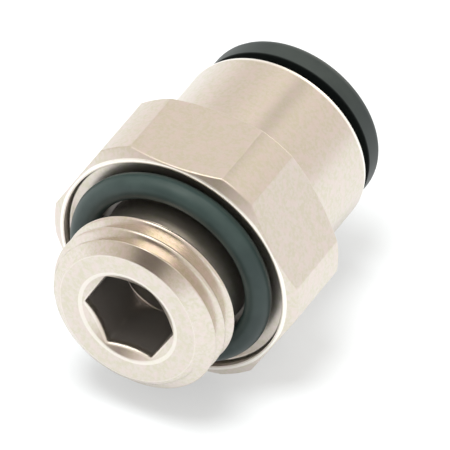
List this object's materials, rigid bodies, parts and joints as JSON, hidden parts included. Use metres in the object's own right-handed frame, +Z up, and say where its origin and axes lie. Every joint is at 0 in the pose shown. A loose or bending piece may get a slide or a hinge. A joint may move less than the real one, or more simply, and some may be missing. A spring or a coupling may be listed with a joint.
{
  "type": "push to connect fitting",
  "caption": "Straight push-in tube fitting: parallel male stud with captive O-ring and internal hexagon, wrench hexagon, round barrel and black release button.",
  "frame": {"origin": "on the fitting's axis, in the plane of the face round the O-ring recess that seals against the port", "axes": "+Y along the axis from the threaded stud to the release button, so a tube goes in towards -Y; +Z up, square to one flat of the hexagon; X across two opposite corners of the hexagon"},
  "size_m": [0.0194, 0.0247, 0.018],
  "materials": {
    "nickel_plate": "satin nickel plating over brass",
    "black_rubber": "smooth moulded nitrile rubber",
    "black_polymer": "satin moulded acetal",
    "support_polymer": "natural moulded polymer",
    "stainless_steel": "pressed spring stainless steel"
  },
  "bodies": {
    "fitting_body": {"body": "nickel_plate", "face_o_ring": "black_rubber", "tube_seal": "black_rubber", "seal_support_ring": "support_polymer", "clamp_sleeve": "nickel_plate"},
    "grip": {"gripping_ring": "stainless_steel"},
    "button": {"release_button": "black_polymer"},
    "tooth_1": {"grip_tooth_1": "stainless_steel"},
    "tooth_2": {"grip_tooth_2": "stainless_steel"},
    "tooth_3": {"grip_tooth_3": "stainless_steel"},
    "tooth_4": {"grip_tooth_4": "stainless_steel"},
    "tooth_5": {"grip_tooth_5": "stainless_steel"},
    "tooth_6": {"grip_tooth_6": "stainless_steel"},
    "tooth_7": {"grip_tooth_7": "stainless_steel"},
    "tooth_8": {"grip_tooth_8": "stainless_steel"},
    "tooth_9": {"grip_tooth_9": "stainless_steel"},
    "tooth_10": {"grip_tooth_10": "stainless_steel"},
    "tooth_11": {"grip_tooth_11": "stainless_steel"},
    "tooth_12": {"grip_tooth_12": "stainless_steel"}
  },
  "joints": [
    {"name": "grip_turn", "type": "hinge", "parent": "fitting_body", "child": "grip", "pos_m": [0, 0.0092, 0], "axis": [0, 1, 0], "continuous": true},
    {"name": "button_press", "type": "slide", "parent": "grip", "child": "button", "axis": [0, -1, 0], "range_m": [0, 0.0008]},
    {"name": "tooth_1_bend", "type": "hinge", "parent": "grip", "child": "tooth_1", "pos_m": [0.0055, 0.0092, 0], "axis": [0, 0, 1], "range_deg": [0, 24.1], "stiffness_Nm_per_rad": 0.000004},
    {"name": "tooth_2_bend", "type": "hinge", "parent": "grip", "child": "tooth_2", "pos_m": [0.00476, 0.0092, -0.00275], "axis": [0.5, 0, 0.866], "range_deg": [0, 24.1], "stiffness_Nm_per_rad": 0.000004},
    {"name": "tooth_3_bend", "type": "hinge", "parent": "grip", "child": "tooth_3", "pos_m": [0.00275, 0.0092, -0.00476], "axis": [0.866, 0, 0.5], "range_deg": [0, 24.1], "stiffness_Nm_per_rad": 0.000004},
    {"name": "tooth_4_bend", "type": "hinge", "parent": "grip", "child": "tooth_4", "pos_m": [0, 0.0092, -0.0055], "axis": [1, 0, 0], "range_deg": [0, 24.1], "stiffness_Nm_per_rad": 0.000004},
    {"name": "tooth_5_bend", "type": "hinge", "parent": "grip", "child": "tooth_5", "pos_m": [-0.00275, 0.0092, -0.00476], "axis": [0.866, 0, -0.5], "range_deg": [0, 24.1], "stiffness_Nm_per_rad": 0.000004},
    {"name": "tooth_6_bend", "type": "hinge", "parent": "grip", "child": "tooth_6", "pos_m": [-0.00476, 0.0092, -0.00275], "axis": [0.5, 0, -0.866], "range_deg": [0, 24.1], "stiffness_Nm_per_rad": 0.000004},
    {"name": "tooth_7_bend", "type": "hinge", "parent": "grip", "child": "tooth_7", "pos_m": [-0.0055, 0.0092, 0], "axis": [0, 0, -1], "range_deg": [0, 24.1], "stiffness_Nm_per_rad": 0.000004},
    {"name": "tooth_8_bend", "type": "hinge", "parent": "grip", "child": "tooth_8", "pos_m": [-0.00476, 0.0092, 0.00275], "axis": [-0.5, 0, -0.866], "range_deg": [0, 24.1], "stiffness_Nm_per_rad": 0.000004},
    {"name": "tooth_9_bend", "type": "hinge", "parent": "grip", "child": "tooth_9", "pos_m": [-0.00275, 0.0092, 0.00476], "axis": [-0.866, 0, -0.5], "range_deg": [0, 24.1], "stiffness_Nm_per_rad": 0.000004},
    {"name": "tooth_10_bend", "type": "hinge", "parent": "grip", "child": "tooth_10", "pos_m": [0, 0.0092, 0.0055], "axis": [-1, 0, 0], "range_deg": [0, 24.1], "stiffness_Nm_per_rad": 0.000004},
    {"name": "tooth_11_bend", "type": "hinge", "parent": "grip", "child": "tooth_11", "pos_m": [0.00275, 0.0092, 0.00476], "axis": [-0.866, 0, 0.5], "range_deg": [0, 24.1], "stiffness_Nm_per_rad": 0.000004},
    {"name": "tooth_12_bend", "type": "hinge", "parent": "grip", "child": "tooth_12", "pos_m": [0.00476, 0.0092, 0.00275], "axis": [-0.5, 0, 0.866], "range_deg": [0, 24.1], "stiffness_Nm_per_rad": 0.000004}
  ],
  "couplings": [
    {"joint": "tooth_1_bend", "follows": "button_press", "rad_per_m": 523.6},
    {"joint": "tooth_2_bend", "follows": "button_press", "rad_per_m": 523.6},
    {"joint": "tooth_3_bend", "follows": "button_press", "rad_per_m": 523.6},
    {"joint": "tooth_4_bend", "follows": "button_press", "rad_per_m": 523.6},
    {"joint": "tooth_5_bend", "follows": "button_press", "rad_per_m": 523.6},
    {"joint": "tooth_6_bend", "follows": "button_press", "rad_per_m": 523.6},
    {"joint": "tooth_7_bend", "follows": "button_press", "rad_per_m": 523.6},
    {"joint": "tooth_8_bend", "follows": "button_press", "rad_per_m": 523.6},
    {"joint": "tooth_9_bend", "follows": "button_press", "rad_per_m": 523.6},
    {"joint": "tooth_10_bend", "follows": "button_press", "rad_per_m": 523.6},
    {"joint": "tooth_11_bend", "follows": "button_press", "rad_per_m": 523.6},
    {"joint": "tooth_12_bend", "follows": "button_press", "rad_per_m": 523.6}
  ]
}
